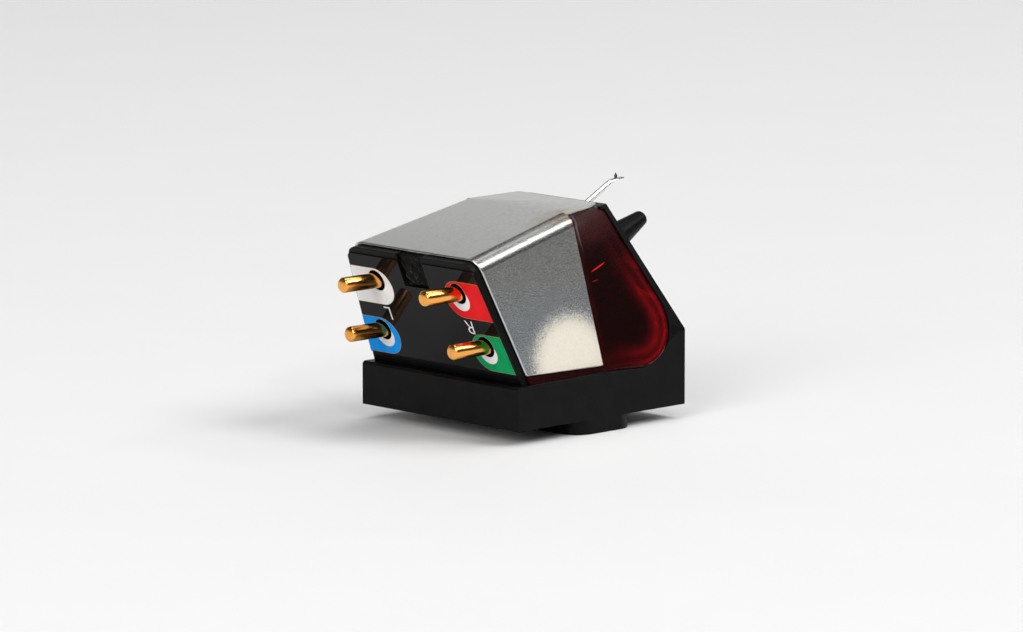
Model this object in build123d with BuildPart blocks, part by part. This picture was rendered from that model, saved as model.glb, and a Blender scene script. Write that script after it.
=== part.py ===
from build123d import *
from math import cos, radians, sin, tan
import os

# A moving-coil pickup cartridge for a turntable, lying on its mounting pads with the stylus up.
# Millimetres. The origin is midway between the two mounting holes, on the plane of the pads.
# X points forward to the stylus, Y to the left and Z up, away from the mounting plane.

# Base plate and mounting pads
hole_spacing = 12.7
thread_radius = 1.05
thread_depth = 3.6
pad_half_length = 3.45
pad_inner = 3.4
pad_corner = 1.8
pad_height = 1.2
base_rear = 10.0
base_front = 9.1
base_half_width = 9.27
base_height = 3.6
base_edge = 0.2
floor_z = pad_height + base_height

# Leaning body: the rear wall and the nose lean back by the same angle
body_lean = 23.5
rear_ledge = 0.9
front_upright = 2.75
side_ledge = 0.75
side_half_width = base_half_width - side_ledge
side_taper = 2.77
side_draft = 9.1

# Fold line between the cover's top plate and its front facet
fold_x = -1.4
fold_z = 17.85
fold_lean = 8.4
top_pitch = 12.4
facet_pitch = 3.0

# Nose of the chassis and the pocket behind it
nose_flare = 1.2
nose_foot_half_width = base_half_width + nose_flare
nose_top_half_width = 4.39
nose_top_corner = 0.35
nose_wall = 0.6
nose_lip = 0.3
nose_lip_reach = 1.05
pocket_radius = 3.7
peg_height = 8.5
peg_root_radius = 1.75
peg_length = 7.1
peg_taper = 9.2
peg_tip_radius = 0.4

# Folded sheet cover
sheet = 0.3
fold_radius = 1.3
cover_setback = 0.72
cover_foot = 0.47
cover_foot_pitch = 1.6
facet_flare = 0.13
facet_front_half_width = nose_top_half_width + facet_flare
facet_gap = 0.1
facet_shoulder = 0.75

# Red housing
seat_gap = 0.04
housing_wall = 1.0
housing_inner_radius = 0.3
ridge_width = 0.55
pane_recess = 0.12

# Rear terminals
block_thickness = 2.2
flange_inset = 0.06
label_thickness = 0.12
label_foot = 1.0
label_head = 0.75
label_side_margin = 0.18
label_corner = 0.5
label_hole_radius = 0.88
notch_width = 2.9
notch_depth = 2.4
notch_corner = 0.5
notch_pocket = 1.2
pin_radius = 0.6
pin_outside = 4.0
pin_inside = 3.0
pin_dimple_radius = 0.22
pin_dimple_depth = 0.15
pin_chamfer = 0.08
pin_relief = 0.55
pin_relief_radius = 0.42
collar_radius = 0.82
collar_recess = 0.5
collar_length = 0.7
upper_pin_inset = 3.11
upper_pin_drop = 3.12
lower_pin_inset = 2.44
lower_pin_rise = 3.36
resin_lump_radius = 0.55
resin_lumps = ((-0.65, 0.75), (0.55, 0.95), (-0.1, 1.65))

# Generator: stations are counted backwards along the cantilever's axis from the nose's outer face
cantilever_rake = 27.8
axis_drop = 1.43
axis_z = fold_z - axis_drop
opening_width = 3.0
opening_height = 1.9
opening_corner = 0.5
pole_plate_station = 2.9
pole_plate_thickness = 0.8
pole_hole_radius = 0.9
generator_width = 5.0
generator_rise = 1.5
generator_drop = 6.0
magnet_height = 4.0
coil_gap = 0.25
coil_thickness = 0.7
former_thickness = 0.4
former_span = 2.0
former_arm = 0.4
hub_radius = 0.36
hub_length = 0.8
coil_section = 0.8
coil_length = 0.42
coil_clearance = 0.02
damper_gap = 0.15
damper_thickness = 0.5
damper_radius = 0.9
damper_clearance = 0.06
rear_pole_radius = 1.6
rear_pole_length = 3.0
yoke_thickness = 1.2
shank_radius = 1.0
sleeve_radius = 0.48
sleeve_bore = 0.2
fit_gap = 0.02
screw_radius = 0.5
screw_setback = 1.5
screw_slot = 0.2
wire_radius = 0.08
wire_tail = 2.5
wire_nose = 0.7
hub_bore = 0.18

# Pedestal on the base plate that carries the generator
pedestal_rear = -0.4
pedestal_front = 3.7
pedestal_half_width = 2.3
pedestal_clearance = 0.3

# Cantilever and stylus
tube_radius = 0.25
tube_bore = 0.15
tube_reach = 4.7
tab_run = 0.57
tab_pitch = 3.0
tab_width = 0.6
tab_thickness = 0.2
tab_length = 1.05
stylus_offset = 0.32
stylus_radius = 0.13
stylus_shank = 0.22
stylus_cone = 0.24
stylus_tip_radius = 0.015

# Lead wires from the pins to the generator
lead_radius = 0.1
lead_bend = 0.8
lead_start = 1.5
lead_gap = 0.05
upper_lead_offset = 0.4
lower_lead_offset = -1.2
lead_entry = 2.0

os.makedirs("parts", exist_ok=True)


def tangent(angle):
    return tan(radians(angle))


def leaning(x, z, lean):
    """A plane across the body that faces forward and leans back as it rises."""
    facing = (cos(radians(lean)), 0, sin(radians(lean)))
    return Plane(origin=(x, 0, z), x_dir=(0, 1, 0), z_dir=facing)


def roof(pitch):
    """A plane through the fold line that rises forward by the pitch."""
    facing = (-sin(radians(pitch)), 0, cos(radians(pitch)))
    return Plane(origin=(fold_x, 0, fold_z), x_dir=(0, 1, 0), z_dir=facing)


def flank(sign):
    """The drafted side of the body, on the left for +1 and on the right for -1."""
    facing = (tangent(side_taper), sign, tangent(side_draft))
    return Plane(origin=(0, sign * side_half_width, floor_z), z_dir=facing)


def flank_y(x, z):
    """Half the body's width at a place on its side."""
    return side_half_width - tangent(side_taper) * x - tangent(side_draft) * (z - floor_z)


def rear_x(z):
    """Where the rear wall's outer face is at a height."""
    return rear_ledge - base_rear - tangent(body_lean) * (z - floor_z)


def slope_x(z):
    """Where the nose's outer face is at a height."""
    return base_front - tangent(body_lean) * (z - floor_z - front_upright)


# Planes that several pieces share
rear_face = leaning(rear_x(floor_z), floor_z, body_lean)
slope_face = leaning(slope_x(floor_z), floor_z, body_lean)
fold_foot_x = fold_x + tangent(fold_lean) * (fold_z - floor_z)
fold_face = leaning(fold_foot_x, floor_z, fold_lean)
top_face = roof(top_pitch)
facet_face = roof(facet_pitch)
cover_rear = rear_face.offset(cover_setback)
block_front = rear_face.offset(block_thickness)
foot_facing = (tangent(cover_foot_pitch), 0, 1)
cover_foot_face = Plane(origin=(fold_foot_x, 0, floor_z + cover_foot), x_dir=(0, 1, 0), z_dir=foot_facing)
under_sheet = sheet + seat_gap
shell_inset = under_sheet + housing_wall


def rear_form(inset, rear_plane):
    """The drafted block under the cover, with its top and sides moved in."""
    with BuildPart(Plane.XY.offset(floor_z)) as form:
        Box(6 * base_rear, 4 * base_half_width, 2 * fold_z, align=(Align.CENTER, Align.CENTER, Align.MIN))
        split(bisect_by=rear_plane, keep=Keep.TOP)
        split(bisect_by=fold_face, keep=Keep.BOTTOM)
        split(bisect_by=top_face.offset(-inset), keep=Keep.BOTTOM)
        for sign in (-1, 1):
            split(bisect_by=flank(sign).offset(-inset), keep=Keep.BOTTOM)
        top_edges = form.faces().sort_by(Axis.Z)[-1].edges().sort_by(Axis.Y)
        fillet((top_edges[0], top_edges[-1]), radius=max(fold_radius - inset, housing_inner_radius))
    return form.part


def front_form(inset):
    """The body in front of the fold, which narrows to the top of the nose."""
    fold_height = (fold_z - floor_z) / cos(radians(fold_lean)) - inset
    foot_half = flank_y(fold_foot_x, floor_z) - inset
    fold_half = flank_y(fold_x, fold_z) - inset
    facet_rise = tangent(facet_pitch)
    nose_line = base_front + tangent(body_lean) * (floor_z + front_upright) - fold_x
    nose_top_z = (fold_z + facet_rise * nose_line) / (1 + facet_rise * tangent(body_lean))
    nose_height = (nose_top_z - floor_z) / cos(radians(body_lean)) - inset
    nose_foot = nose_foot_half_width - inset
    nose_top = nose_top_half_width - inset
    sections = (
        (fold_face, foot_half, fold_half, fold_height, fold_radius),
        (slope_face, nose_foot, nose_top, nose_height, nose_top_corner),
    )
    with BuildPart() as form:
        for plane, foot, top, height, corner in sections:
            with BuildSketch(plane):
                with BuildLine():
                    Polyline((-foot, 0), (foot, 0), (top, height), (-top, height), close=True)
                make_face()
                fillet(vertices().group_by(Axis.Y)[-1], radius=max(corner - inset, housing_inner_radius))
        loft(ruled=True)
        split(bisect_by=Plane.YZ.offset(base_front), keep=Keep.BOTTOM)
        for plane in (Plane.XZ.offset(base_half_width), (-Plane.XZ).offset(base_half_width)):
            split(bisect_by=plane, keep=Keep.BOTTOM)
    return form.part


def pocket_form(inset):
    """The room behind the nose wall, seen from the side, with its edge moved in."""
    wall_x = (nose_wall + inset) / cos(radians(body_lean))
    foot_z = floor_z + inset
    with BuildPart() as form:
        with BuildSketch(Plane.XZ):
            with BuildLine():
                Polyline(
                    (-2 * base_rear, foot_z),
                    (slope_x(foot_z) - wall_x, foot_z),
                    (slope_x(2 * fold_z) - wall_x, 2 * fold_z),
                    (-2 * base_rear, 2 * fold_z),
                    close=True,
                )
            make_face()
            fillet(vertices().sort_by(Axis.X)[-1], radius=pocket_radius - inset)
        extrude(amount=2 * base_half_width, both=True)
    return form.part


def window_form(inset, front_plane):
    """The red moulding in front of the fold as far as a plane, nested in the nose's pocket."""
    with BuildPart() as form:
        add(front_form(inset))
        add(pocket_form(seat_gap), mode=Mode.INTERSECT)
        split(bisect_by=front_plane, keep=Keep.BOTTOM)
        split(bisect_by=facet_face.offset(-under_sheet), keep=Keep.BOTTOM)
    return form.part


def block_room():
    """The room that the red moulding leaves for the rear wall."""
    with BuildPart() as form:
        add(rear_form(sheet, rear_face))
        split(bisect_by=block_front.offset(seat_gap), keep=Keep.BOTTOM)
    return form.part


def skirt_form():
    """The strip of the red moulding that shows under the cover's sides, from the rear wall to the fold."""
    with BuildPart() as form:
        add(rear_form(0, cover_rear))
        split(bisect_by=cover_foot_face.offset(-seat_gap), keep=Keep.BOTTOM)
        add(block_room(), mode=Mode.SUBTRACT)
    return form.part


def cavity_form():
    """The hollow of the red moulding, open to the rear."""
    with BuildPart() as form:
        add(rear_form(shell_inset, rear_face))
        add(cavity_front())
    return form.part


def cavity_front():
    """The hollow in front of the fold."""
    with BuildPart() as form:
        add(front_form(shell_inset))
        add(pocket_form(seat_gap + housing_wall), mode=Mode.INTERSECT)
    return form.part


def lip_form(gap):
    """The lip at the head of the nose, which reaches back to the cover, with a gap added round it."""
    with BuildPart() as form:
        add(front_form(0))
        split(bisect_by=slope_face.offset(-nose_lip_reach - gap), keep=Keep.TOP)
        split(bisect_by=facet_face.offset(-sheet - nose_lip - gap), keep=Keep.TOP)
    return form.part


def nose_form():
    """The wall in front of the red moulding, with the rounded foot that the moulding nests in."""
    with BuildPart() as form:
        add(front_form(0))
        add(pocket_form(0), mode=Mode.SUBTRACT)
        add(lip_form(0))
        split(bisect_by=facet_face.offset(-sheet), keep=Keep.BOTTOM)
    return form.part


# Generator axis
axis_direction = Vector(cos(radians(cantilever_rake)), 0, sin(radians(cantilever_rake)))
axis_start = Vector(slope_x(axis_z), 0, axis_z)
axis_height = (axis_z - floor_z) / cos(radians(body_lean))


def station(distance):
    """A plane across the generator's axis, at a distance behind the nose's outer face."""
    place = axis_start - axis_direction * distance
    return leaning(place.X, place.Z, cantilever_rake)


def beside_axis(distance, y, rise):
    """A point beside the generator's axis."""
    return station(distance).from_local_coords(Vector(y, rise, 0))


coil_station = pole_plate_station + pole_plate_thickness + coil_gap + coil_thickness / 2
damper_station = coil_station + coil_thickness / 2 + damper_gap
pole_station = damper_station + damper_thickness + damper_clearance
yoke_station = pole_station + rear_pole_length
yoke_end = yoke_station + yoke_thickness
magnet_station = pole_plate_station + pole_plate_thickness
pivot_station = damper_station + damper_thickness / 2
generator_height = generator_rise + generator_drop
generator_mid = (generator_rise - generator_drop) / 2


def pedestal_form():
    """The ramp that the generator stands on."""
    length = pedestal_front - pedestal_rear
    with BuildPart(Plane.XY.offset(floor_z - base_height / 2)) as form:
        with Locations((pedestal_rear + length / 2, 0, 0)):
            Box(length, 2 * pedestal_half_width, fold_z, align=(Align.CENTER, Align.CENTER, Align.MIN))
        underside = Plane(
            origin=beside_axis(pole_plate_station, 0, -generator_drop),
            x_dir=(0, 1, 0),
            z_dir=station(0).y_dir,
        )
        split(bisect_by=underside, keep=Keep.BOTTOM)
    return form.part


# Black chassis: base plate, pads, nose, pointer peg and pedestal in one moulding
with BuildPart() as chassis:
    with BuildSketch(Plane.XY.offset(pad_height)):
        with Locations(((base_front - base_rear) / 2, 0)):
            Rectangle(base_front + base_rear, 2 * base_half_width)
    extrude(amount=base_height)
    rear_edges = chassis.faces().sort_by(Axis.X)[0].edges().filter_by(Axis.Y)
    chamfer(rear_edges.sort_by(Axis.Z)[-1], length=base_edge)
    with BuildSketch(Plane.XY):
        with GridLocations(0, base_half_width + pad_inner, 1, 2):
            RectangleRounded(2 * pad_half_length, base_half_width - pad_inner, pad_corner)
    extrude(amount=pad_height)
    add(nose_form())
    add(pedestal_form())
    with BuildSketch(slope_face):
        with Locations((0, peg_height)):
            Circle(peg_root_radius)
    extrude(amount=peg_length, taper=peg_taper)
    fillet(chassis.edges().filter_by(GeomType.CIRCLE).sort_by(Axis.X)[-1], radius=peg_tip_radius)
    with BuildSketch(slope_face):
        with Locations((0, axis_height)):
            RectangleRounded(opening_width, opening_height, opening_corner)
    extrude(amount=-2 * nose_wall, mode=Mode.SUBTRACT)
    with BuildSketch(Plane.XY):
        with GridLocations(0, hole_spacing, 1, 2):
            Circle(thread_radius)
    extrude(amount=thread_depth, mode=Mode.SUBTRACT)
chassis.part.label = "chassis"
export_step(chassis.part, "parts/chassis.step")

# Red translucent housing
with BuildPart() as housing:
    add(rear_form(under_sheet, block_front.offset(seat_gap)))
    add(skirt_form())
    add(window_form(0, fold_face.offset(ridge_width)))
    add(window_form(pane_recess, slope_face))
    add(lip_form(seat_gap), mode=Mode.SUBTRACT)
    add(cavity_form(), mode=Mode.SUBTRACT)
    with BuildSketch(slope_face):
        with Locations((0, axis_height)):
            RectangleRounded(opening_width, opening_height, opening_corner)
    extrude(amount=-(nose_wall + 2 * housing_wall), mode=Mode.SUBTRACT)
    with BuildSketch(Plane.XY.offset(floor_z)):
        with Locations(((pedestal_front + pedestal_rear) / 2, 0)):
            Rectangle(
                pedestal_front - pedestal_rear + 2 * pedestal_clearance,
                2 * (pedestal_half_width + pedestal_clearance),
            )
    extrude(amount=2 * housing_wall, mode=Mode.SUBTRACT)
housing.part.label = "housing"
export_step(housing.part, "parts/housing.step")

# Folded steel cover
with BuildPart() as cover:
    add(rear_form(0, cover_rear))
    add(rear_form(sheet, cover_rear), mode=Mode.SUBTRACT)
    split(bisect_by=cover_foot_face, keep=Keep.TOP)
    facet_length = slope_x(fold_z) - nose_lip_reach / cos(radians(body_lean)) - facet_gap - fold_x
    fold_half_width = flank_y(fold_x, fold_z) - facet_shoulder
    with BuildSketch(facet_face):
        with BuildLine():
            Polyline(
                (-fold_half_width, 0),
                (-facet_front_half_width, -facet_length),
                (facet_front_half_width, -facet_length),
                (fold_half_width, 0),
                close=True,
            )
        make_face()
    extrude(amount=-sheet)
cover.part.label = "cover"
export_step(cover.part, "parts/cover.step")

# Terminals: upper and lower pins on the left and right of the rear wall, placed from its edges
lean_cosine = cos(radians(body_lean))
top_rise = tangent(top_pitch)
wall_rise = fold_z - floor_z - top_rise * (fold_x - rear_x(floor_z))
wall_height = wall_rise / (1 + top_rise * tangent(body_lean)) / lean_cosine
upper_pin_z = floor_z + (wall_height - upper_pin_drop) * lean_cosine
lower_pin_z = floor_z + lower_pin_rise * lean_cosine
upper_pin_y = flank_y(rear_x(upper_pin_z), upper_pin_z) - upper_pin_inset
lower_pin_y = flank_y(rear_x(lower_pin_z), lower_pin_z) - lower_pin_inset
pins = {
    "terminal_pin_left_upper": (upper_pin_y, upper_pin_z),
    "terminal_pin_left_lower": (lower_pin_y, lower_pin_z),
    "terminal_pin_right_upper": (-upper_pin_y, upper_pin_z),
    "terminal_pin_right_lower": (-lower_pin_y, lower_pin_z),
}


def pin_plane(y, z, inward):
    """A plane across a pin, at a distance in from the rear wall's outer face."""
    return Plane(origin=(rear_x(z) + inward, y, z), x_dir=(0, 1, 0), z_dir=(1, 0, 0))


for name, (y, z) in pins.items():
    with BuildPart(pin_plane(y, z, -pin_outside)) as pin:
        Cylinder(pin_radius, pin_outside - pin_relief, align=(Align.CENTER, Align.CENTER, Align.MIN))
        chamfer(pin.faces().sort_by(Axis.X)[0].edges(), length=pin_chamfer)
        with BuildSketch(pin_plane(y, z, -pin_outside)):
            Circle(pin_dimple_radius)
        extrude(amount=pin_dimple_depth, mode=Mode.SUBTRACT)
        with BuildSketch(pin_plane(y, z, -pin_relief)):
            Circle(pin_relief_radius)
        extrude(amount=pin_relief + pin_inside)
        with BuildSketch(pin_plane(y, z, collar_recess)):
            Circle(collar_radius)
        extrude(amount=collar_length)
    pin.part.label = name
    export_step(pin.part, f"parts/{name}.step")


def flange_form():
    """The part of the rear wall that stands out behind the cover."""
    with BuildPart() as form:
        add(rear_form(flange_inset, rear_face))
        split(bisect_by=cover_rear.offset(-seat_gap), keep=Keep.BOTTOM)
    return form.part


# Rear wall that carries the pins in counterbored holes
label_height = wall_height - label_foot - label_head
notch_foot = label_foot + label_height - notch_depth
with BuildPart() as terminal_block:
    add(rear_form(under_sheet, rear_face))
    split(bisect_by=block_front, keep=Keep.BOTTOM)
    add(flange_form())
    for y, z in pins.values():
        with BuildSketch(pin_plane(y, z, -pin_outside)):
            Circle(pin_relief_radius + fit_gap)
        extrude(amount=2 * pin_outside + block_thickness, mode=Mode.SUBTRACT)
        with BuildSketch(pin_plane(y, z, -pin_outside)):
            Circle(collar_radius + fit_gap)
        extrude(amount=pin_outside + collar_recess + collar_length + fit_gap, mode=Mode.SUBTRACT)
    with BuildSketch(rear_face):
        with Locations((0, notch_foot)):
            Rectangle(notch_width, 2 * notch_depth, align=(Align.CENTER, Align.MIN))
        fillet(vertices().group_by(Axis.Y)[0], radius=notch_corner)
    extrude(amount=notch_pocket, mode=Mode.SUBTRACT)
terminal_block.part.label = "terminal_block"
export_step(terminal_block.part, "parts/terminal_block.step")

# Printed film on the rear wall
with BuildPart() as terminal_label:
    with BuildSketch(rear_face):
        foot_z = floor_z + label_foot * lean_cosine
        head_z = foot_z + label_height * lean_cosine
        foot_half = flank_y(rear_x(foot_z), foot_z) - label_side_margin
        head_half = flank_y(rear_x(head_z), head_z) - label_side_margin
        with BuildLine():
            Polyline(
                (-foot_half, label_foot),
                (foot_half, label_foot),
                (head_half, label_foot + label_height),
                (-head_half, label_foot + label_height),
                close=True,
            )
        make_face()
        fillet(vertices().group_by(Axis.Y)[-1], radius=label_corner)
        with Locations((0, notch_foot)):
            Rectangle(notch_width, 2 * notch_depth, align=(Align.CENTER, Align.MIN), mode=Mode.SUBTRACT)
    extrude(amount=-label_thickness)
    for y, z in pins.values():
        with BuildSketch(pin_plane(y, z, -pin_outside)):
            Circle(label_hole_radius)
        extrude(amount=2 * pin_outside, mode=Mode.SUBTRACT)
terminal_label.part.label = "terminal_label"
export_step(terminal_label.part, "parts/terminal_label.step")

# Resin that seals the notch, with a lumpy outer face
with BuildPart() as potting_resin:
    with BuildSketch(rear_face.offset(notch_pocket - fit_gap)):
        with Locations((0, notch_foot + fit_gap)):
            Rectangle(notch_width - 2 * fit_gap, notch_depth, align=(Align.CENTER, Align.MIN))
        fillet(vertices().group_by(Axis.Y)[0], radius=notch_corner - fit_gap)
    extrude(amount=-(notch_pocket - fit_gap))
    for across, up in resin_lumps:
        with Locations(rear_face.location * Location((across, notch_foot + up, 0))):
            Sphere(resin_lump_radius)
potting_resin.part.label = "potting_resin"
export_step(potting_resin.part, "parts/potting_resin.step")

# Magnetic circuit
with BuildPart(station(magnet_station)) as magnet:
    with Locations((0, magnet_height / 2 - generator_drop, 0)):
        Box(
            generator_width,
            magnet_height,
            yoke_station - magnet_station,
            align=(Align.CENTER, Align.CENTER, Align.MAX),
        )
magnet.part.label = "magnet"
export_step(magnet.part, "parts/magnet.step")

with BuildPart(station(pole_plate_station)) as front_pole_plate:
    with Locations((0, generator_mid, 0)):
        Box(
            generator_width,
            generator_height,
            pole_plate_thickness,
            align=(Align.CENTER, Align.CENTER, Align.MAX),
        )
    Cylinder(pole_hole_radius, 4 * pole_plate_thickness, mode=Mode.SUBTRACT)
front_pole_plate.part.label = "front_pole_plate"
export_step(front_pole_plate.part, "parts/front_pole_plate.step")

with BuildPart(station(yoke_station)) as rear_yoke:
    with Locations((0, generator_mid, 0)):
        Box(
            generator_width,
            generator_height,
            yoke_thickness,
            align=(Align.CENTER, Align.CENTER, Align.MAX),
        )
    Cylinder(shank_radius + fit_gap, 4 * yoke_thickness, mode=Mode.SUBTRACT)
rear_yoke.part.label = "rear_yoke"
export_step(rear_yoke.part, "parts/rear_yoke.step")

screw_station = pole_station + screw_setback
screw_plane = Plane(origin=station(screw_station).origin, x_dir=(0, 1, 0), z_dir=station(0).y_dir)
with BuildPart(station(pole_station)) as rear_pole:
    Cylinder(rear_pole_radius, rear_pole_length, align=(Align.CENTER, Align.CENTER, Align.MAX))
    Cylinder(shank_radius, rear_pole_length + yoke_thickness, align=(Align.CENTER, Align.CENTER, Align.MAX))
    Cylinder(sleeve_radius + fit_gap, 4 * rear_pole_length, mode=Mode.SUBTRACT)
    with BuildSketch(screw_plane):
        Circle(screw_radius + fit_gap)
    extrude(amount=2 * rear_pole_radius, mode=Mode.SUBTRACT)
rear_pole.part.label = "rear_pole"
export_step(rear_pole.part, "parts/rear_pole.step")

# Suspension: sleeve, clamp screw, wire and rubber damper
with BuildPart(station(pole_station)) as suspension_sleeve:
    Cylinder(sleeve_radius, rear_pole_length, align=(Align.CENTER, Align.CENTER, Align.MAX))
    Cylinder(sleeve_bore, 4 * rear_pole_length, mode=Mode.SUBTRACT)
suspension_sleeve.part.label = "suspension_sleeve"
export_step(suspension_sleeve.part, "parts/suspension_sleeve.step")

with BuildPart(screw_plane.offset(sleeve_radius + fit_gap)) as set_screw:
    screw_length = rear_pole_radius - sleeve_radius - 2 * fit_gap
    Cylinder(screw_radius, screw_length, align=(Align.CENTER, Align.CENTER, Align.MIN))
    with Locations((0, 0, screw_length)):
        Box(4 * screw_radius, screw_slot, 2 * screw_slot, mode=Mode.SUBTRACT)
set_screw.part.label = "set_screw"
export_step(set_screw.part, "parts/set_screw.step")

with BuildPart(station(pivot_station + wire_tail)) as suspension_wire:
    Cylinder(wire_radius, wire_tail + wire_nose, align=(Align.CENTER, Align.CENTER, Align.MIN))
suspension_wire.part.label = "suspension_wire"
export_step(suspension_wire.part, "parts/suspension_wire.step")

with BuildPart(station(damper_station)) as damper_ring:
    Cylinder(damper_radius, damper_thickness, align=(Align.CENTER, Align.CENTER, Align.MAX))
    Cylinder(wire_radius + fit_gap, 4 * damper_thickness, mode=Mode.SUBTRACT)
damper_ring.part.label = "damper_ring"
export_step(damper_ring.part, "parts/damper_ring.step")

# Armature: a four-armed former with a winding on each arm, left and right channels on crossed pairs
with BuildPart(station(coil_station)) as coil_former:
    for turn in (45, -45):
        with Locations(Location((0, 0, 0), (0, 0, turn))):
            Box(former_span, former_arm, former_thickness)
    Cylinder(hub_radius, hub_length)
    Cylinder(hub_bore, 4 * hub_length, mode=Mode.SUBTRACT)
coil_former.part.label = "coil_former"
export_step(coil_former.part, "parts/coil_former.step")

coil_place = former_span / 2 - coil_length / 2
for name, turn in (("left_coil", 45), ("right_coil", -45)):
    with BuildPart(station(coil_station)) as coil:
        with Locations(Location((0, 0, 0), (0, 0, turn))):
            with Locations((coil_place, 0, 0), (-coil_place, 0, 0)):
                Box(coil_length, coil_section, coil_thickness)
            Box(
                2 * former_span,
                former_arm + 2 * coil_clearance,
                former_thickness + 2 * coil_clearance,
                mode=Mode.SUBTRACT,
            )
    coil.part.label = name
    export_step(coil.part, f"parts/{name}.step")

# Cantilever: a thin tube with its end pressed flat for the diamond
tube_end = coil_station - hub_length / 2
tab_root = station(-tube_reach - tab_run).origin
tab_face = leaning(tab_root.X, tab_root.Z, tab_pitch)
with BuildPart() as cantilever:
    with BuildSketch(station(tube_end)):
        Circle(tube_radius)
    extrude(amount=tube_end + tube_reach)
    with BuildSketch(station(-tube_reach)):
        Circle(tube_radius)
    with BuildSketch(tab_face):
        SlotOverall(tab_width, tab_thickness)
    loft()
    with BuildSketch(tab_face):
        SlotOverall(tab_width, tab_thickness)
    extrude(amount=tab_length)
    with BuildSketch(station(tube_end)):
        Circle(tube_bore)
    extrude(amount=tube_end + tube_reach, mode=Mode.SUBTRACT)
cantilever.part.label = "cantilever"
export_step(cantilever.part, "parts/cantilever.step")

# Diamond
stylus_seat = tab_face.from_local_coords(Vector(0, tab_thickness / 2, stylus_offset))
with BuildPart(Plane(origin=stylus_seat, x_dir=(0, 1, 0), z_dir=tab_face.y_dir)) as stylus:
    Cylinder(stylus_radius, stylus_shank, align=(Align.CENTER, Align.CENTER, Align.MIN))
    with Locations((0, 0, stylus_shank)):
        Cone(stylus_radius, stylus_tip_radius, stylus_cone, align=(Align.CENTER, Align.CENTER, Align.MIN))
stylus.part.label = "stylus"
export_step(stylus.part, "parts/stylus.step")

# Lead wires, from the inner end of each pin along the generator to the front pole plate
leads = {
    "lead_wire_left_upper": (upper_pin_y, upper_pin_z, upper_lead_offset),
    "lead_wire_left_lower": (lower_pin_y, lower_pin_z, lower_lead_offset),
    "lead_wire_right_upper": (-upper_pin_y, upper_pin_z, upper_lead_offset),
    "lead_wire_right_lower": (-lower_pin_y, lower_pin_z, lower_lead_offset),
}
for name, (y, z, rise) in leads.items():
    start = Vector(rear_x(z) + pin_inside, y, z)
    beside = (generator_width / 2 + lead_radius + lead_gap) * (1 if y > 0 else -1)
    route = (
        start,
        start + Vector(lead_start, 0, 0),
        beside_axis(yoke_end + lead_entry, beside, rise),
        beside_axis(pole_plate_station + pole_plate_thickness / 2, beside, rise),
    )
    with BuildPart() as lead:
        with BuildLine() as path:
            FilletPolyline(*route, radius=lead_bend)
        with BuildSketch(Plane(origin=start, x_dir=(0, 1, 0), z_dir=(1, 0, 0))):
            Circle(lead_radius)
        sweep()
    lead.part.label = name
    export_step(lead.part, f"parts/{name}.step")
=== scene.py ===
# %% [markdown]
# # A moving coil pickup cartridge and its portrait
# A cartridge sits at the end of a record player's arm and turns a groove's wiggle into a small current.
# Here it lies upside down on its mounting pads, so the stylus points up.
# The solid model is loaded first as a frame that never moves.
# Every visible piece is then built around it.

import math

import bmesh
import bpy
from mathutils import Matrix, Vector, kdtree, noise


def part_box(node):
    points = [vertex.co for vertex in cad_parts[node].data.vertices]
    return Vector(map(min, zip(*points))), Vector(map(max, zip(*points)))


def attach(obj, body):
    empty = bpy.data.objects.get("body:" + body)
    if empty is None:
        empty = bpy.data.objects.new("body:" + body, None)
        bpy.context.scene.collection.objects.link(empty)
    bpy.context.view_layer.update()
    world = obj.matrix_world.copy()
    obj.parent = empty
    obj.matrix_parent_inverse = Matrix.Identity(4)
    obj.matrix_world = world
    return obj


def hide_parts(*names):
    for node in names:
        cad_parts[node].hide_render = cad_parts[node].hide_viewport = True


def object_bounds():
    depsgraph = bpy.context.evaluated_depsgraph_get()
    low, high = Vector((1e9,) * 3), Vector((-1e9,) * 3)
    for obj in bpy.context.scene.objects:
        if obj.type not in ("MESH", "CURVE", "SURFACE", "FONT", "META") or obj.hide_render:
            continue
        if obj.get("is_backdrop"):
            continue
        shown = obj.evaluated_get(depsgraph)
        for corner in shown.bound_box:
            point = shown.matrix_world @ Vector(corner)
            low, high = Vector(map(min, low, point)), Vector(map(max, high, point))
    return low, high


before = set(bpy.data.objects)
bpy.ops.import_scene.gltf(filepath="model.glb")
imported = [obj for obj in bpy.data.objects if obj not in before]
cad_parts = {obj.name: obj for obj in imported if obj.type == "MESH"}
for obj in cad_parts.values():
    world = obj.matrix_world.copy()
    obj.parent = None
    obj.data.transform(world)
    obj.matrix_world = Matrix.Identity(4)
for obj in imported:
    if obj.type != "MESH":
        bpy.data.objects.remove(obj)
solid_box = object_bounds()
MM = 0.001
BODY = "cartridge_body"
ARM = "stylus_arm"
solid_size = [round((high - low) / MM, 2) for low, high in zip(*solid_box)]
print("solid model in millimetres:", solid_size)

# %% [markdown]
# ## Camera
# The photograph was taken with a long lens from behind and to the right, a little above the object.
# A long lens keeps far edges nearly as large as near ones, which is why parallel edges stay parallel.
# Its place was found by matching corners of the solid model with the same corners in the photograph.

# %% Set up the camera
IMAGE_WIDTH = 1023
FOCAL_PIXELS = 7000
SENSOR_WIDTH = 36
CAMERA_PLACE = Vector((-396.9, -409.17, 101.7))
CAMERA_AIM = Vector((0.6856, 0.7101, -0.1614))

camera_data = bpy.data.cameras.new("portrait_camera")
camera_data.sensor_width = SENSOR_WIDTH
camera_data.lens = SENSOR_WIDTH * FOCAL_PIXELS / IMAGE_WIDTH
camera_data.clip_start = 0.02
camera_data.clip_end = 20

camera = bpy.data.objects.new("portrait_camera", camera_data)
camera.location = CAMERA_PLACE * MM
camera.rotation_euler = CAMERA_AIM.to_track_quat("-Z", "Y").to_euler()

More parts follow.
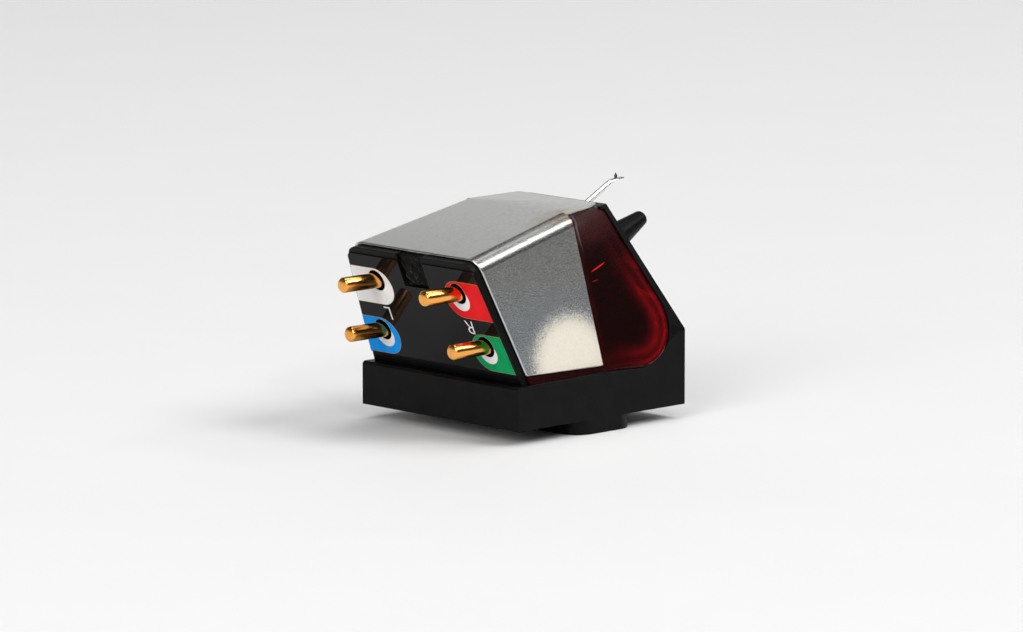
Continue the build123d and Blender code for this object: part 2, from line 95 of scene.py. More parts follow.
scene = bpy.context.scene
scene.collection.objects.link(camera)
scene.camera = camera
scene.view_settings.view_transform = "Standard"
print("lens in millimetres:", round(camera_data.lens, 1))

# %% [markdown]
# ## Helpers for finishes
# Every finish is built from noise that is measured in real millimetres on the piece itself.
# One noise drives colour, roughness and a fine bump together, as grain does on a real surface.
# A picture could be wrapped round a piece instead, but noise fits every side at its true scale.

# %% Helpers for finishes


def new_finish(name):
    """A material with an empty shader to fill in."""
    material = bpy.data.materials.new(name)
    material.use_nodes = True
    tree = material.node_tree
    return material, tree, tree.nodes["Principled BSDF"]


def grain(tree, size, detail=3.0, stretch=(1, 1, 1)):
    """Noise with grains about this many millimetres across, longer where stretch is below one."""
    place = tree.nodes.new("ShaderNodeTexCoord")
    mapping = tree.nodes.new("ShaderNodeMapping")
    mapping.inputs["Scale"].default_value = stretch
    speckle = tree.nodes.new("ShaderNodeTexNoise")
    speckle.inputs["Scale"].default_value = 1 / (size * MM)
    speckle.inputs["Detail"].default_value = detail
    tree.links.new(place.outputs["Object"], mapping.inputs["Vector"])
    tree.links.new(mapping.outputs["Vector"], speckle.inputs["Vector"])
    return speckle.outputs["Fac"]


def spread(tree, source, low, high, start=0.3, end=0.7):
    """A stretch of a noise or a patch carried over to another range."""
    stretcher = tree.nodes.new("ShaderNodeMapRange")
    stretcher.interpolation_type = "SMOOTHSTEP"
    stretcher.inputs["From Min"].default_value = start
    stretcher.inputs["From Max"].default_value = end
    stretcher.inputs["To Min"].default_value = low
    stretcher.inputs["To Max"].default_value = high
    tree.links.new(source, stretcher.inputs["Value"])
    return stretcher.outputs["Result"]


def tint(tree, source, dark, light, start=0.3, end=0.7):
    """A signal turned into colours between a dark and a light one."""
    ramp = tree.nodes.new("ShaderNodeValToRGB")
    first, last = ramp.color_ramp.elements
    first.position = start
    last.position = end
    first.color = (*dark, 1)
    last.color = (*light, 1)
    tree.links.new(source, ramp.inputs["Fac"])
    return ramp.outputs["Color"]


def bump(tree, shader, source, depth):
    """Noise pressed into the surface, this many millimetres deep."""
    presser = tree.nodes.new("ShaderNodeBump")
    presser.inputs["Distance"].default_value = depth * MM
    tree.links.new(source, presser.inputs["Height"])
    tree.links.new(presser.outputs["Normal"], shader.inputs["Normal"])


BROAD_GRAIN = 12


def plain_finish(
    name, colours, roughness, grain_size, depth, metallic=0.0, stretch=(1, 1, 1), gloss=0.5
):
    """A finish with two near colours, a range of roughness, a grain and a level of gloss."""
    material, tree, shader = new_finish(name)
    shader.inputs["Specular IOR Level"].default_value = gloss
    fine = grain(tree, grain_size, stretch=stretch)
    broad = grain(tree, grain_size * BROAD_GRAIN, detail=2.0, stretch=stretch)
    shader.inputs["Metallic"].default_value = metallic
    tree.links.new(tint(tree, broad, *colours), shader.inputs["Base Color"])
    tree.links.new(spread(tree, fine, *roughness), shader.inputs["Roughness"])
    bump(tree, shader, fine, depth)
    return material


# %% [markdown]
# ## Plain finishes
# The chassis is black moulded plastic, the pins are gold plated and the film is glossy black.
# Each needs only two near colours, a range of roughness and a grain, so one helper makes them all.
# Drawn rod keeps faint marks along its length, so the gold's grain is longer along the pin's axis.

# %% Make the plain finishes of the outside
black_moulding = plain_finish(
    "black_moulding",
    colours=((0.002, 0.002, 0.002), (0.004, 0.004, 0.0045)),
    roughness=(0.34, 0.5),
    grain_size=0.12,
    depth=0.004,
    gloss=0.1,
)
glossy_film = plain_finish(
    "glossy_film",
    colours=((0.004, 0.004, 0.0045), (0.007, 0.007, 0.0075)),
    roughness=(0.03, 0.06),
    grain_size=0.3,
    depth=0.0003,
    gloss=0.12,
)
gold_plate = plain_finish(
    "gold_plate",
    colours=((0.88, 0.37, 0.07), (0.97, 0.48, 0.13)),
    roughness=(0.14, 0.22),
    grain_size=0.08,
    depth=0.0016,
    metallic=1.0,
    stretch=(0.12, 1, 1),
)
resin = plain_finish(
    "resin",
    colours=((0.002, 0.002, 0.002), (0.003, 0.003, 0.003)),
    roughness=(0.25, 0.4),
    grain_size=0.3,
    depth=0.004,
    gloss=0.08,
)
outside = (black_moulding, glossy_film, gold_plate, resin)
print("finishes of the outside:", ", ".join(material.name for material in outside))

# %% [markdown]
# ## Finishes of the works
# Inside are iron, copper wire, rubber, brass and a thin aluminium tube with a diamond.
# A table lists them, with their colours, roughness, grain size, grain depth and whether they are metal.

# %% Make the finishes of the works
WORKS = {
    "magnet_iron": ((0.1, 0.1, 0.1), (0.16, 0.16, 0.17), (0.4, 0.55), 0.1, 0.004, 1.0),
    "pole_steel": ((0.4, 0.4, 0.4), (0.5, 0.5, 0.51), (0.3, 0.42), 0.1, 0.003, 1.0),
    "copper_wire": ((0.7, 0.26, 0.12), (0.8, 0.34, 0.17), (0.2, 0.3), 0.05, 0.002, 1.0),
    "former_plastic": ((0.6, 0.55, 0.45), (0.68, 0.63, 0.53), (0.4, 0.5), 0.1, 0.002, 0.0),
    "damper_rubber": ((0.02, 0.02, 0.02), (0.035, 0.034, 0.033), (0.6, 0.75), 0.08, 0.004, 0.0),
    "spring_wire": ((0.5, 0.5, 0.5), (0.6, 0.6, 0.6), (0.2, 0.3), 0.05, 0.001, 1.0),
    "sleeve_brass": ((0.7, 0.5, 0.2), (0.8, 0.58, 0.26), (0.25, 0.35), 0.1, 0.002, 1.0),
    "bright_aluminium": ((0.82, 0.82, 0.83), (0.9, 0.9, 0.9), (0.12, 0.2), 0.06, 0.001, 1.0),
    "diamond": ((0.03, 0.03, 0.035), (0.06, 0.06, 0.065), (0.04, 0.08), 0.05, 0.0005, 0.0),
}
works = {
    name: plain_finish(name, (dark, light), roughness, grain_size, depth, metallic)
    for name, (dark, light, roughness, grain_size, depth, metallic) in WORKS.items()
}
print("finishes of the works:", ", ".join(works))

# %% [markdown]
# ## Inks
# The film is printed in flat, slightly glossy inks.
# The gold ink only shows as a thin line round each flag.

# %% Mix the inks
INKS = {
    "white": ((0.74, 0.74, 0.74), (0.82, 0.82, 0.81)),
    "blue": ((0.0, 0.25, 0.76), (0.005, 0.3, 0.84)),
    "red": ((0.68, 0.008, 0.012), (0.76, 0.012, 0.016)),
    "green": ((0.0, 0.27, 0.085), (0.004, 0.32, 0.11)),
    "gold": ((0.3, 0.21, 0.04), (0.38, 0.28, 0.06)),
}
INK_ROUGHNESS = (0.12, 0.2)
INK_GLOSS = 0.06

inks = {
    colour: plain_finish(f"{colour}_ink", colours, INK_ROUGHNESS, 0.1, 0.0005, gloss=INK_GLOSS)
    for colour, colours in INKS.items()
}
print("inks mixed:", ", ".join(inks))

# %% [markdown]
# ## Marks on a surface
# A mark such as dirt, wear or a painted reflection sits at one place only, so a finish needs a way to
# say where.
# A patch is a soft egg-shaped spot, measured in millimetres on the piece.
# Patches are joined with noise to make their edges ragged, and then laid over the finish as colour,
# some of it painted reflection.

# %% Helpers for marks


def patch(tree, centre, radii, turn=0.0, core=0.2):
    """One in the core of a soft egg-shaped spot, nought outside it, turned about the Y axis."""
    place = tree.nodes.new("ShaderNodeTexCoord")
    mapping = tree.nodes.new("ShaderNodeMapping")
    mapping.vector_type = "TEXTURE"
    mapping.inputs["Location"].default_value = Vector(centre) * MM
    mapping.inputs["Rotation"].default_value = (0, turn, 0)
    mapping.inputs["Scale"].default_value = Vector(radii) * MM
    length = tree.nodes.new("ShaderNodeVectorMath")
    length.operation = "LENGTH"
    tree.links.new(place.outputs["Object"], mapping.inputs["Vector"])
    tree.links.new(mapping.outputs["Vector"], length.inputs[0])
    return spread(tree, length.outputs["Value"], 1, 0, start=core, end=1)


def combine(tree, way, first, second):
    """Two signals added, multiplied or compared."""
    meeting = tree.nodes.new("ShaderNodeMath")
    meeting.operation = way
    meeting.use_clamp = True
    tree.links.new(first, meeting.inputs[0])
    tree.links.new(second, meeting.inputs[1])
    return meeting.outputs["Value"]


def lay_colour(tree, amount, under, colour):
    """A colour laid over another where the amount says so."""
    layer = tree.nodes.new("ShaderNodeMix")
    layer.data_type = "RGBA"
    # The node keeps inputs for numbers and vectors too, so its two colours come seventh and eighth
    factor, _, _, _, _, _, first, second = layer.inputs[:8]
    second.default_value = (*colour, 1)
    tree.links.new(amount, factor)
    tree.links.new(under, first)
    return layer.outputs[2]


# %% [markdown]
# ## Satin steel
# The cover is stainless sheet with a fine satin grain, which breaks up the highlights along its folds.
# Low down on the right flank a rougher patch spreads the lamps' light, and its pale warm colour is a
# painted reflection.
# A faint brown patch is laid beside the fold.

# %% Find the marks on the steel
# The rougher patch low on the right flank, whose pale warm colour is a painted reflection
SHEEN_PATCH_PLACE = (-3.2, -8.2, 6.1)
SHEEN_PATCH_RADII = (6.6, 6, 5.6)
SHEEN_PATCH_RAGGED = 0.28
BROWN_PATCH_PLACE = (-2.0, -5.4, 17.6)
BROWN_PATCH_RADII = (4.2, 1.8, 2.0)
SATIN_GRAIN = 0.06
CLOUD_GRAIN = 1.1
COOL_BELOW = 9
WARM_ABOVE = 14

satin_steel, steel_tree, steel_shader = new_finish("satin_steel")
steel_shader.inputs["Metallic"].default_value = 1.0
satin = grain(steel_tree, SATIN_GRAIN, detail=2.0)
cloud = grain(steel_tree, CLOUD_GRAIN, detail=4.0)

sheen_patch = patch(steel_tree, SHEEN_PATCH_PLACE, SHEEN_PATCH_RADII, core=0.35)
ragged = spread(steel_tree, satin, -SHEEN_PATCH_RAGGED, SHEEN_PATCH_RAGGED)
sheen_patch = combine(steel_tree, "ADD", sheen_patch, ragged)
sheen_patch = spread(steel_tree, sheen_patch, 0, 1, 0.25, 0.85)
sheen_patch = combine(steel_tree, "MULTIPLY", sheen_patch, spread(steel_tree, satin, 0.72, 1.0))

brown_patch = patch(steel_tree, BROWN_PATCH_PLACE, BROWN_PATCH_RADII)
brown_patch = combine(steel_tree, "MULTIPLY", brown_patch, spread(steel_tree, cloud, 0.15, 0.9))

steel_place = steel_tree.nodes.new("ShaderNodeTexCoord")
steel_height = steel_tree.nodes.new("ShaderNodeSeparateXYZ")
steel_tree.links.new(steel_place.outputs["Object"], steel_height.inputs["Vector"])
cool_foot = spread(steel_tree, steel_height.outputs["Z"], 1, 0, COOL_BELOW * MM, WARM_ABOVE * MM)
print("scuff is centred at", SHEEN_PATCH_PLACE)

# %% [markdown]
# ## Colour and roughness of the steel
# The steel is a little cooler towards its foot, and the marks are laid over it one after another.
# That patch is rougher than the rest, so it spreads the lamps' light instead of mirroring it, and its
# pale warm colour is painted on as a reflection.

# %% Colour the steel
STEEL_COLOURS = ((0.57, 0.57, 0.55), (0.6, 0.6, 0.58))
COOL_COLOUR = (0.55, 0.585, 0.61)
# Pale warm colour painted on that patch as a reflection of the lamps
PAINTED_SHEEN_COLOUR = (0.99, 0.93, 0.82)
BROWN_PATCH_COLOUR = (0.4, 0.29, 0.2)
STEEL_ROUGHNESS = (0.2, 0.28)
SHEEN_PATCH_ROUGHNESS = 0.55
PEBBLE_GRAIN = 0.17
STEEL_DEPTH = 0.004

steel_colour = tint(steel_tree, cloud, *STEEL_COLOURS)
steel_colour = lay_colour(steel_tree, cool_foot, steel_colour, COOL_COLOUR)
# Painted reflection: the pale patch on the right flank
steel_colour = lay_colour(steel_tree, sheen_patch, steel_colour, PAINTED_SHEEN_COLOUR)
steel_colour = lay_colour(steel_tree, brown_patch, steel_colour, BROWN_PATCH_COLOUR)
steel_tree.links.new(steel_colour, steel_shader.inputs["Base Color"])

satin_roughness = spread(steel_tree, satin, *STEEL_ROUGHNESS)
sheen_patch_roughness = spread(steel_tree, sheen_patch, 0, SHEEN_PATCH_ROUGHNESS, 0, 1)
steel_roughness = combine(steel_tree, "ADD", satin_roughness, sheen_patch_roughness)
steel_tree.links.new(steel_roughness, steel_shader.inputs["Roughness"])

pebble = spread(steel_tree, grain(steel_tree, PEBBLE_GRAIN), 0, 0.3)
steel_grain = combine(steel_tree, "ADD", spread(steel_tree, satin, 0, 0.7), pebble)
bump(steel_tree, steel_shader, steel_grain, STEEL_DEPTH)
print("steel roughness:", STEEL_ROUGHNESS)

# %% [markdown]
# ## Ruby plastic
# The nose is clear red plastic, nearly black where one looks through it into the dark housing.
# Light gathers in its thick front rim and runs round it as bright bands, and a hazy reflection is
# painted over its head.
# The bands could be left to bent light alone, but that takes very many light paths to come out clean.
# So each point of the piece carries a number for the light that gathers there, and the finish reads it.
# Two fine lines beside the ridge are painted bright red as glints of the lamp.

# %% Make the ruby plastic
# A painted reflection of a soft light, laid over the head of each pane
HEAD_REFLECTION_PLACE = (1.0, 0, 18.2)
HEAD_REFLECTION_RADII = (9, 1000, 5.0)
HEAD_REFLECTION_AMOUNT = 0.3
# Two thin lines painted bright red as glints of the lamp
PAINTED_GLINTS = (
    ((1.38, -6.9, 13.2), (1.25, 1.0, 0.07), -0.29),
    ((0.75, -7.19, 12.17), (0.5, 1.0, 0.06), -0.1),
)
RUBY_COLOURS = ((0.1, 0.0015, 0.0025), (0.45, 0.003, 0.007))
HEAD_REFLECTION_COLOUR = (0.2, 0.055, 0.055)
GLINT_COLOUR = (0.95, 0.01, 0.015)

ruby_plastic, ruby_tree, ruby_shader = new_finish("ruby_plastic")
ruby_shader.inputs["IOR"].default_value = 1.5
ruby_fine = grain(ruby_tree, 0.15)
ruby_broad = grain(ruby_tree, 0.9, detail=3.0)

gathered = ruby_tree.nodes.new("ShaderNodeAttribute")
gathered.attribute_name = "gathered_light"
clouding = spread(ruby_tree, ruby_broad, 0.85, 1.0)
ruby_light = combine(ruby_tree, "MULTIPLY", gathered.outputs["Fac"], clouding)
head_reflection = patch(ruby_tree, HEAD_REFLECTION_PLACE, HEAD_REFLECTION_RADII, core=0.35)
head_reflection = spread(ruby_tree, head_reflection, 0, HEAD_REFLECTION_AMOUNT, 0, 1)
# The painted glints beside the ridge
long_glint, short_glint = (patch(ruby_tree, *mark, core=0.6) for mark in PAINTED_GLINTS)
short_glint = spread(ruby_tree, short_glint, 0, 0.5, 0, 1)
glint = combine(ruby_tree, "MAXIMUM", long_glint, short_glint)

ruby_colour = tint(ruby_tree, ruby_light, *RUBY_COLOURS, 0, 1)
# The painted reflection on the head is laid over the ruby colour
head_reflection_cover = spread(ruby_tree, head_reflection, 0, 0.6, 0, HEAD_REFLECTION_AMOUNT)
ruby_colour = lay_colour(ruby_tree, head_reflection_cover, ruby_colour, HEAD_REFLECTION_COLOUR)
ruby_colour = lay_colour(ruby_tree, glint, ruby_colour, GLINT_COLOUR)
ruby_tree.links.new(ruby_colour, ruby_shader.inputs["Base Color"])

ruby_body = combine(ruby_tree, "MAXIMUM", combine(ruby_tree, "MAXIMUM", ruby_light, head_reflection), glint)
clearness = spread(ruby_tree, ruby_body, 1.0, 0.1, 0, 1)
ruby_tree.links.new(clearness, ruby_shader.inputs["Transmission Weight"])
ruby_tree.links.new(spread(ruby_tree, ruby_fine, 0.06, 0.12), ruby_shader.inputs["Roughness"])
bump(ruby_tree, ruby_shader, ruby_fine, 0.0008)
print("haze is centred at", HEAD_REFLECTION_PLACE)

# %% [markdown]
# ## Finishes on the inner parts
# Most inner parts are plain turned and pressed shapes that barely show, so their solids serve.
# Each only needs its finish in the slot that it already has.

# %% Give the inner parts their finishes
INNER_PARTS = {
    "magnet": "magnet_iron",
    "front_pole_plate": "pole_steel",
    "rear_yoke": "pole_steel",
    "rear_pole": "pole_steel",
    "suspension_sleeve": "sleeve_brass",
    "set_screw": "pole_steel",
    "suspension_wire": "spring_wire",
    "damper_ring": "damper_rubber",
    "coil_former": "former_plastic",
    "left_coil": "copper_wire",
    "right_coil": "copper_wire",
    "lead_wire_left_upper": "copper_wire",
    "lead_wire_left_lower": "copper_wire",
    "lead_wire_right_upper": "copper_wire",
    "lead_wire_right_lower": "copper_wire",
}
for node, finish in INNER_PARTS.items():
    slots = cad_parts[node].data.materials
    slots.clear()
    slots.append(works[finish])
print("inner parts finished:", len(INNER_PARTS))

# %% [markdown]
# ## Helpers for pieces
# Moulded and folded edges are never perfectly sharp, and a small round catches light as a thin line.
# A solid's mesh arrives as separate triangles.
# So a copy is merged into whole faces before its edges are rounded.

# %% Helpers for pieces
MERGE_DISTANCE = 0.0005 * MM
FLAT_ANGLE = math.radians(0.2)
SHARP_ANGLE = math.radians(28)
SHADING_ANGLE = math.radians(40)


def make_piece(bm, name, material, body, nodes=()):
    """A finished piece from a working mesh, riding on a body in place of some solids."""
    bmesh.ops.recalc_face_normals(bm, faces=bm.faces)
    for face in bm.faces:
        face.smooth = True
    mesh = bpy.data.meshes.new(name)
    bm.to_mesh(mesh)
    bm.free()
    mesh.set_sharp_from_angle(angle=SHADING_ANGLE)
    mesh.materials.append(material)
    piece = bpy.data.objects.new(name, mesh)
    scene.collection.objects.link(piece)
    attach(piece, body)
    if nodes:
        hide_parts(*nodes)
    print(name, "faces:", len(mesh.polygons))
    return piece


def merged_copy(node):
    """A working mesh of a solid, merged into whole faces."""
    bm = bmesh.new()
    bm.from_mesh(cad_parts[node].data)
    bmesh.ops.remove_doubles(bm, verts=bm.verts, dist=MERGE_DISTANCE)
    bmesh.ops.dissolve_limit(bm, angle_limit=FLAT_ANGLE, verts=bm.verts, edges=bm.edges)
    return bm


def round_edges(bm, edges, width, segments):
    """Some edges rounded by a width in millimetres."""
    bmesh.ops.bevel(
        bm,
        geom=edges,
        offset=width * MM,
        offset_type="OFFSET",
        segments=segments,
        profile=0.5,
        affect="EDGES",
        clamp_overlap=True,
        material=-1,
    )


def soften(bm, width):
    """Every sharp edge rounded by a width in millimetres."""
    whole_edges = [edge for edge in bm.edges if edge.is_manifold]
    sharp_edges = [edge for edge in whole_edges if edge.calc_face_angle() > SHARP_ANGLE]
    round_edges(bm, sharp_edges, width, segments=2)


def even_normals(piece):
    """Shading that keeps large faces flat right up to their rounded edges."""
    piece.modifiers.new("weighted_normals", "WEIGHTED_NORMAL").keep_sharp = True


# %% [markdown]
# ## Chassis and film
# The black chassis and the film on the rear wall keep the form of their solids.
# They could be modelled afresh, but a copy of the solid fits its neighbours without any measuring.
# Only their edges are rounded, as a mould or a punch would leave them.
# Normals are weighted by area, so that flat faces stay flat beside a rounded edge.

# %% Round the edges of the chassis and the film
MOULDED_ROUND = 0.05
FILM_ROUND = 0.02

bm = merged_copy("chassis")
soften(bm, MOULDED_ROUND)
chassis = make_piece(bm, "chassis_moulding", black_moulding, BODY, ["chassis"])
even_normals(chassis)

bm = merged_copy("terminal_label")
soften(bm, FILM_ROUND)
film = make_piece(bm, "label_film", glossy_film, BODY, ["terminal_label"])
even_normals(film)

# %% [markdown]
# ## The rear wall's own plane
# Everything on the rear wall is laid out flat first, with a ruler across and up the leaning wall.
# One matrix then carries the flat layout onto the wall, and depth is counted inwards.

# %% Lay out the rear wall's plane
WALL_LEAN = math.radians(23.5)
WALL_FOOT = Vector((-9.1, 0, 4.8))
LABEL_FACE = -0.12

across = Vector((0, 1, 0))
up_wall = Vector((-math.sin(WALL_LEAN), 0, math.cos(WALL_LEAN)))
into_wall = across.cross(up_wall)
wall_place = Matrix((across, up_wall, into_wall)).transposed().to_4x4()
wall_place = Matrix.Translation(WALL_FOOT * MM) @ wall_place @ Matrix.Scale(MM, 4)
print("wall leans back", round(math.degrees(WALL_LEAN), 1), "degrees")

# %% [markdown]
# ## Steel cover
# The cover is one folded sheet whose cut edges were tumbled smooth, and they show as bright lines.
# The cut edges at the rear and along the foot are found by their place and rounded.
# The folds already have their round in the solid, so a bevel of every edge isn't needed.

# %% Round the steel cover's cut edges
COVER_DEPTH = 0.72
COVER_FOOT = 5.7
CUT_EDGE = 0.13
NEARLY = 0.01

onto_wall = wall_place.inverted()


def is_cut_edge(edge):
    """Whether an edge is a sharp one at the cover's rear or foot."""
    at_rear = all(abs((onto_wall @ vert.co).z - COVER_DEPTH) < NEARLY for vert in edge.verts)
    at_foot = all(vert.co.z < COVER_FOOT * MM for vert in edge.verts)
    return (at_rear or at_foot) and edge.calc_face_angle(0) > SHARP_ANGLE


bm = merged_copy("cover")
cut_edges = [edge for edge in bm.edges if is_cut_edge(edge)]
round_edges(bm, cut_edges, CUT_EDGE, segments=3)
print("cut edges rounded:", len(cut_edges))
cover = make_piece(bm, "steel_cover", satin_steel, BODY, ["cover"])
even_normals(cover)

# %% [markdown]
# ## Rear wall
# The black wall behind the cover is a little smaller than the steel.
# That is why the sheet's bright cut edge shows all round it.
# Scaling the whole wall would move its pin holes too.
# So only its rim faces, found by their place near the outline, are moved inwards.

# %% Set the rear wall's rim back
RIM_SETBACK = 0.14
RIM_DEPTH = 0.68
RIM_REACH = 0.5
RIM_OUTWARD = 0.4
WALL_HEIGHT = 11.3036
LABEL_FOOT = 1.0
LABEL_HEAD = 10.5536
LABEL_FOOT_HALF = 8.6527
LABEL_HEAD_HALF = 7.4337
LABEL_MARGIN = 0.18


def label_edge(v):
    """How far the film's side edge is from its middle at a height up the wall."""
    share = (v - LABEL_FOOT) / (LABEL_HEAD - LABEL_FOOT)
    return LABEL_FOOT_HALF + share * (LABEL_HEAD_HALF - LABEL_FOOT_HALF)


def is_rim_face(face):
    """Whether a face belongs to the outer rim of the wall, behind the cover."""
    y, v, depth = onto_wall @ face.calc_center_median()
    outward = max(face.normal.y * math.copysign(1, y), face.normal.dot(up_wall))
    near_side = abs(y) > label_edge(v) + LABEL_MARGIN - RIM_REACH
    near_head = v > WALL_HEIGHT - RIM_REACH
    return outward > RIM_OUTWARD and 0 < depth < RIM_DEPTH and (near_side or near_head)


bm = merged_copy("terminal_block")
rim_faces = [face for face in bm.faces if is_rim_face(face)]
for vert in {vert for face in rim_faces for vert in face.verts}:
    way = sum((face.normal for face in vert.link_faces if face in rim_faces), Vector())
    vert.co -= way.normalized() * RIM_SETBACK * MM
soften(bm, MOULDED_ROUND)
print("rim faces set back:", len(rim_faces))
rear_wall = make_piece(bm, "rear_wall", black_moulding, BODY, ["terminal_block"])
even_normals(rear_wall)

# %% [markdown]
# ## The panes of the red nose
# The nose has one clear pane on each side, in front of the ridge beside the cover.
# A pane's faces are found by the way they point and by their distance from the cover's front edge.
# That still finds them after every cut, where a list of faces would go out of date.

# %% Find the panes
FOLD_LEAN = math.radians(8.4)
FOLD_FOOT = Vector((0.527, 0, 4.8))
RIDGE_WIDTH = 0.55
PANE_FACING = 0.85
NOSE_ROUND = 0.03

fold_forward = Vector((math.cos(FOLD_LEAN), 0, math.sin(FOLD_LEAN)))


def ahead_of_fold(point):
    """How many millimetres a point lies in front of the cover's front edge."""
    return (point / MM - FOLD_FOOT).dot(fold_forward)


def pane_faces(bm, side):
    """The faces of the clear pane on one side, which look out to that side in front of the ridge."""
    return [
        face
        for face in bm.faces
        if face.normal.y * side > PANE_FACING
        and face.calc_center_median().y * side > 0
        and ahead_of_fold(face.calc_center_median()) > RIDGE_WIDTH + NEARLY
    ]


nose = merged_copy("housing")
soften(nose, NOSE_ROUND)
print("faces in a pane:", len(pane_faces(nose, 1)))

# %% [markdown]
# ## A fine grid on the panes
# Each pane is cut into a fine grid, so that every point can carry how much light reaches it.
# The cuts also let the pane's gentle curve be smoothed, so that it mirrors the room without kinks.

# %% Cut and smooth the panes
PANE_GRID = 0.25
PANE_FOOT = 4.8
PANE_FRONT = 8.0
PANE_HEAD = 18.0
PANE_SMOOTHING = 40

columns = range(int(PANE_FRONT / PANE_GRID))
rows = range(1, int((PANE_HEAD - PANE_FOOT) / PANE_GRID))
grid_cuts = [((column * PANE_GRID, 0, 0), (1, 0, 0)) for column in columns]
grid_cuts += [((0, 0, PANE_FOOT + row * PANE_GRID), (0, 0, 1)) for row in rows]
gathered_light = nose.verts.layers.float.new("gathered_light")
for side in (-1, 1):
    for cut_place, cut_way in grid_cuts:
        pane = pane_faces(nose, side)
        border = {item for face in pane for item in (*face.edges, *face.verts)}
        cut_geometry = pane + list(border)
        bmesh.ops.bisect_plane(
            nose, geom=cut_geometry, plane_co=Vector(cut_place) * MM, plane_no=cut_way
        )
    pane = set(pane_faces(nose, side))
    pane_verts = {vert for face in pane for vert in face.verts}
    inner_verts = [vert for vert in pane_verts if pane.issuperset(vert.link_faces)]
    for _ in range(PANE_SMOOTHING):
        bmesh.ops.smooth_vert(
            nose, verts=inner_verts, factor=0.5, use_axis_x=True, use_axis_y=True, use_axis_z=True
        )
print("cuts in each pane:", len(grid_cuts))

# %% [markdown]
# ## Light in the rims
# What makes the panes look like clear plastic is the light that gathers along their front rim and foot.
# It falls with the distance from the rim in bands, and the rim is found as the pane's own border.
# It is brightest low down at the front, and dimmer and wider towards the head.

# %% Gather light in the rims
RIDGE_LIGHT = 0.22
PANE_LIGHT = 0.13
RIM_LIGHT = 0.75
RIM_BANDS = (
    (0.0, 0.3),
    (0.15, 0.35),
    (0.38, 0.75),
    (0.6, 0.3),
    (0.8, 0.35),
    (1.2, 0.65),
    (1.6, 0.35),
    (2.4, 0.0),
)
RIM_FACING = 0.2
RIM_BRIGHT_BELOW = 9.0
RIM_DIM_ABOVE = 14.5
RIM_DIM = 0.4
RIM_WIDENING = 0.65
RIM_FOOT_DIM = 0.3
RIM_FOOT_BACK = 2.0
RIM_FOOT_FRONT = 6.0


def share_between(value, start, end):
    """How far a value has come from a start to an end, from nought to one."""
    return min(max((value - start) / (end - start), 0), 1)


def band_light(distance):
    """The light in the rim at a distance from its edge, read between the bands' stations."""
    for (near, near_light), (far, far_light) in zip(RIM_BANDS, RIM_BANDS[1:]):
        if distance < far:
            return near_light + (far_light - near_light) * (distance - near) / (far - near)
    return 0.0


def is_rim_edge(edge, pane):
    """Whether an edge borders a pane at its front or foot, clear of the ridge."""
    outside = [face for face in edge.link_faces if face not in pane]
    middle = (edge.verts[0].co + edge.verts[1].co) / 2
    if not outside or ahead_of_fold(middle) <= 2 * RIDGE_WIDTH:
        return False
    return outside[0].normal.x > RIM_FACING or outside[0].normal.z < -RIM_FACING


for vert in nose.verts:
    vert[gathered_light] = RIDGE_LIGHT
for side in (-1, 1):
    pane = set(pane_faces(nose, side))
    pane_edges = {edge for face in pane for edge in face.edges}
    rim_edges = [edge for edge in pane_edges if is_rim_edge(edge, pane)]
    rim_verts = {vert for edge in rim_edges for vert in edge.verts}
    rim_tree = kdtree.KDTree(len(rim_verts))
    for index, vert in enumerate(rim_verts):
        rim_tree.insert(vert.co, index)
    rim_tree.balance()
    for vert in {vert for face in pane for vert in face.verts}:
        place = vert.co / MM
        rise = share_between(place.z, RIM_BRIGHT_BELOW, RIM_DIM_ABOVE)
        along_foot = share_between(place.x, RIM_FOOT_BACK, RIM_FOOT_FRONT)
        head_share = 1 + (RIM_DIM - 1) * rise
        foot_share = RIM_FOOT_DIM + (1 - RIM_FOOT_DIM) * along_foot
        rim_distance = rim_tree.find(vert.co)[2] / MM / (1 + RIM_WIDENING * rise)
        rim_light = band_light(rim_distance) * RIM_LIGHT * head_share * foot_share
        vert[gathered_light] = PANE_LIGHT + rim_light
    print("pane", side, "faces:", len(pane), "rim points:", len(rim_verts))
even_normals(make_piece(nose, "red_nose", ruby_plastic, BODY, ["housing"]))

# %% [markdown]
# ## Terminal pins
# Four gold plated pins carry the two channels out to the arm's wires.
# They are drawn rod with turned ends, so a half profile is laid along the pin and spun round its axis.
# The end is flat with a rounded chamfer, so that a wire's tag slides on easily.

# %% Spin the terminal pins
PIN_RADIUS = 0.64
PIN_STEM_RADIUS = 0.42
PIN_SHOULDER = 4.45
PIN_LENGTH = 7.0
PIN_PROFILE = (
    (0.0, 0.0),
    (0.0, 0.46),
    (0.03, 0.54),
    (0.1, 0.61),
    (0.16, PIN_RADIUS),
    (PIN_SHOULDER, PIN_RADIUS),
    (PIN_SHOULDER, PIN_STEM_RADIUS),
    (PIN_LENGTH, PIN_STEM_RADIUS),
    (PIN_LENGTH, 0.0),
)
PIN_STEPS = 48
PINS = ("left_upper", "left_lower", "right_upper", "right_lower")


def spun(foot, along_way, out_way, profile, steps):
    """A working mesh of a round part, its half profile spun once round its axis."""
    bm = bmesh.new()
    stations = [foot + (along_way * along + out_way * out) * MM for along, out in profile]
    points = [bm.verts.new(station) for station in stations]
    lines = [bm.edges.new(pair) for pair in zip(points, points[1:])]
    bmesh.ops.spin(
        bm,
        geom=points + lines,
        cent=foot,
        axis=along_way,
        angle=math.tau,
        steps=steps,
        use_merge=True,
    )
    bmesh.ops.remove_doubles(bm, verts=bm.verts, dist=MERGE_DISTANCE)
    return bm


